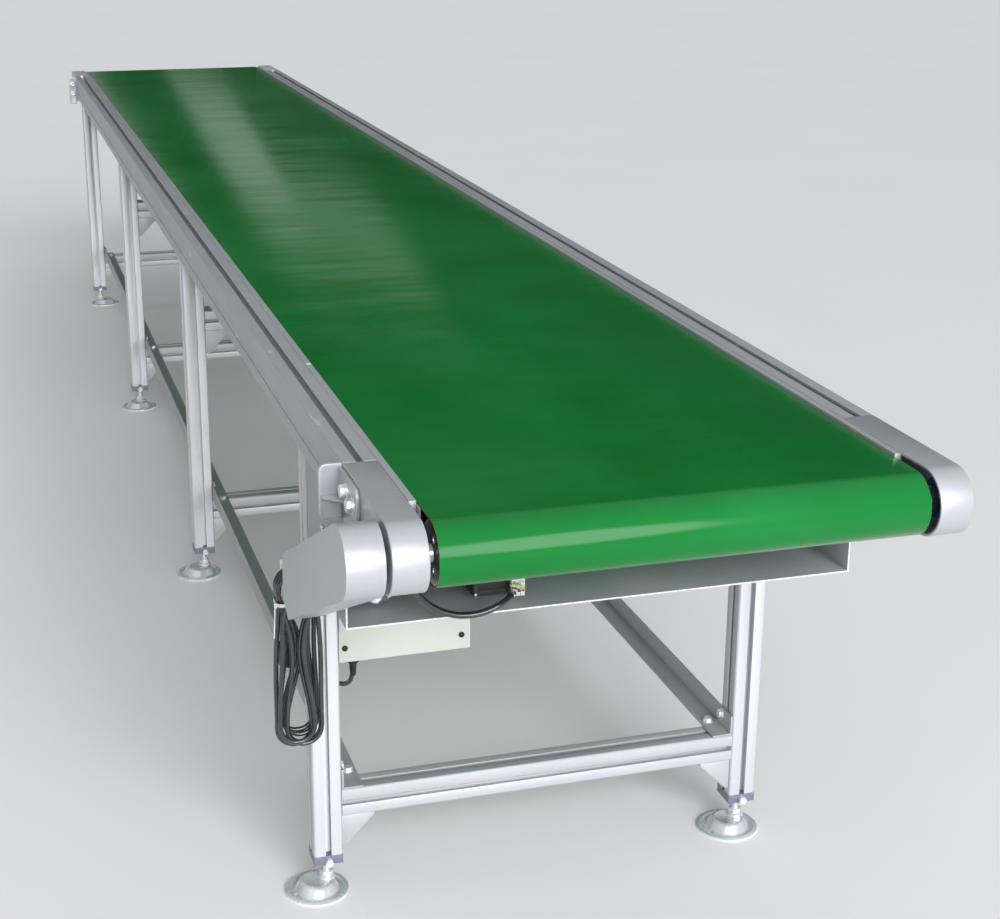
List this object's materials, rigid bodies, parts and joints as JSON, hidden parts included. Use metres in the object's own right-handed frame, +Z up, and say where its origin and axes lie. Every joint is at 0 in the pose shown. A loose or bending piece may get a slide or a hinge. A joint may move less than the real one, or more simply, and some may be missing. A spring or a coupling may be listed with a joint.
{
  "type": "belt conveyor section",
  "caption": "Long flat belt conveyor: green belt over a slider bed between slotted aluminium rails, chain-driven head drum, profile legs on screw levelling feet, gear motor in a head trough.",
  "frame": {"origin": "centre of the object's footprint box on the floor, measured without its cables", "axes": "+Y along the belt from the driven head end to the tail end, +Z up, +X to the right as seen from the head end; the chain guard is on the -X side"},
  "size_m": [0.7209, 4.391, 0.71],
  "materials": {
    "anodised_profile": "satin clear anodised extrusion",
    "silver_paint": "silver-grey sprayed casting",
    "gearbox_casting": "grey painted casting",
    "grey_sheet": "grey powder coat on folded sheet",
    "pale_sheet": "pale grey-green powder coat",
    "bright_zinc": "bright zinc plate on pressed steel",
    "turned_steel": "turned steel",
    "bearing_steel": "ground steel",
    "oiled_steel": "oiled chain steel",
    "green_belt": "glossy green conveyor belting",
    "black_enamel": "black enamel",
    "black_plastic": "moulded black plastic",
    "cable_sheath": "glossy black flexible sheath"
  },
  "bodies": {
    "frame": {"side_rail_left": "anodised_profile", "edge_strip_left": "anodised_profile", "side_rail_right": "anodised_profile", "edge_strip_right": "anodised_profile", "leg_left_1": "anodised_profile", "leg_left_2": "anodised_profile", "leg_left_3": "anodised_profile", "leg_left_4": "anodised_profile", "leg_right_1": "anodised_profile", "leg_right_2": "anodised_profile", "leg_right_3": "anodised_profile", "leg_right_4": "anodised_profile", "lower_cross_member_1": "anodised_profile", "lower_cross_member_2": "anodised_profile", "lower_cross_member_3": "anodised_profile", "lower_cross_member_4": "anodised_profile", "upper_cross_member_2": "anodised_profile", "upper_cross_member_3": "anodised_profile", "long_brace_left": "anodised_profile", "long_brace_right": "anodised_profile", "slider_bed": "grey_sheet", "bed_stretcher_2": "anodised_profile", "bed_stretcher_3": "anodised_profile", "conveyor_belt": "green_belt", "head_bracket_left": "silver_paint", "tail_bracket_left": "silver_paint", "head_bracket_right": "silver_paint", "tail_bracket_right": "silver_paint", "head_bearing_left": "bearing_steel", "head_bearing_right": "bearing_steel", "drive_chain": "oiled_steel", "chain_guard": "silver_paint", "guard_back_plate": "grey_sheet", "head_trough": "grey_sheet", "gearbox": "gearbox_casting", "gear_motor": "black_enamel", "control_box": "pale_sheet", "motor_cable": "cable_sheath", "mains_lead": "cable_sheath", "cable_hank": "cable_sheath", "cable_hook": "bright_zinc", "mains_plug": "black_plastic"},
    "drive_drum": {"drive_drum": "turned_steel", "driven_sprocket": "oiled_steel"},
    "motor_sprocket": {"motor_sprocket": "oiled_steel"},
    "take_up": {"tail_bearing_block_left": "bearing_steel", "tail_bearing_block_right": "bearing_steel"},
    "tail_drum": {"tail_drum": "turned_steel"},
    "return_roller_2": {"return_roller_2": "turned_steel"},
    "return_roller_3": {"return_roller_3": "turned_steel"},
    "power_switch": {"power_switch": "black_plastic"},
    "levelling_foot_left_1": {"levelling_foot_left_1": "bright_zinc"},
    "levelling_foot_left_2": {"levelling_foot_left_2": "bright_zinc"},
    "levelling_foot_left_3": {"levelling_foot_left_3": "bright_zinc"},
    "levelling_foot_left_4": {"levelling_foot_left_4": "bright_zinc"},
    "levelling_foot_right_1": {"levelling_foot_right_1": "bright_zinc"},
    "levelling_foot_right_2": {"levelling_foot_right_2": "bright_zinc"},
    "levelling_foot_right_3": {"levelling_foot_right_3": "bright_zinc"},
    "levelling_foot_right_4": {"levelling_foot_right_4": "bright_zinc"}
  },
  "joints": [
    {"name": "drive_drum_spin", "type": "hinge", "parent": "frame", "child": "drive_drum", "pos_m": [0.0198, -2.1555, 0.67], "axis": [1, 0, 0], "continuous": true},
    {"name": "motor_sprocket_spin", "type": "hinge", "parent": "frame", "child": "motor_sprocket", "pos_m": [0.0198, -1.86517, 0.52651], "axis": [1, 0, 0], "continuous": true},
    {"name": "take_up_slide", "type": "slide", "parent": "frame", "child": "take_up", "axis": [0, -1, 0], "range_m": [0, 0.012]},
    {"name": "tail_drum_spin", "type": "hinge", "parent": "take_up", "child": "tail_drum", "pos_m": [0.0198, 2.1555, 0.67], "axis": [1, 0, 0], "continuous": true},
    {"name": "return_roller_2_spin", "type": "hinge", "parent": "frame", "child": "return_roller_2", "pos_m": [0.0198, -0.4625, 0.6127], "axis": [1, 0, 0], "continuous": true},
    {"name": "return_roller_3_spin", "type": "hinge", "parent": "frame", "child": "return_roller_3", "pos_m": [0.0198, 0.7185, 0.6127], "axis": [1, 0, 0], "continuous": true},
    {"name": "power_switch_rock", "type": "hinge", "parent": "frame", "child": "power_switch", "pos_m": [-0.0872, -1.6885, 0.38501], "axis": [0, 1, 0], "range_deg": [0, 10]},
    {"name": "foot_screw_left_1", "type": "slide", "parent": "frame", "child": "levelling_foot_left_1", "axis": [0, 0, -1], "range_m": [-0.012, 0.018]},
    {"name": "foot_screw_left_2", "type": "slide", "parent": "frame", "child": "levelling_foot_left_2", "axis": [0, 0, -1], "range_m": [-0.012, 0.018]},
    {"name": "foot_screw_left_3", "type": "slide", "parent": "frame", "child": "levelling_foot_left_3", "axis": [0, 0, -1], "range_m": [-0.012, 0.018]},
    {"name": "foot_screw_left_4", "type": "slide", "parent": "frame", "child": "levelling_foot_left_4", "axis": [0, 0, -1], "range_m": [-0.012, 0.018]},
    {"name": "foot_screw_right_1", "type": "slide", "parent": "frame", "child": "levelling_foot_right_1", "axis": [0, 0, -1], "range_m": [-0.012, 0.018]},
    {"name": "foot_screw_right_2", "type": "slide", "parent": "frame", "child": "levelling_foot_right_2", "axis": [0, 0, -1], "range_m": [-0.012, 0.018]},
    {"name": "foot_screw_right_3", "type": "slide", "parent": "frame", "child": "levelling_foot_right_3", "axis": [0, 0, -1], "range_m": [-0.012, 0.018]},
    {"name": "foot_screw_right_4", "type": "slide", "parent": "frame", "child": "levelling_foot_right_4", "axis": [0, 0, -1], "range_m": [-0.012, 0.018]}
  ],
  "couplings": [
    {"joint": "motor_sprocket_spin", "follows": "drive_drum_spin", "ratio": 1.2857},
    {"joint": "tail_drum_spin", "follows": "drive_drum_spin", "ratio": 1},
    {"joint": "return_roller_2_spin", "follows": "drive_drum_spin", "ratio": -1.8},
    {"joint": "return_roller_3_spin", "follows": "drive_drum_spin", "ratio": -1.8}
  ]
}
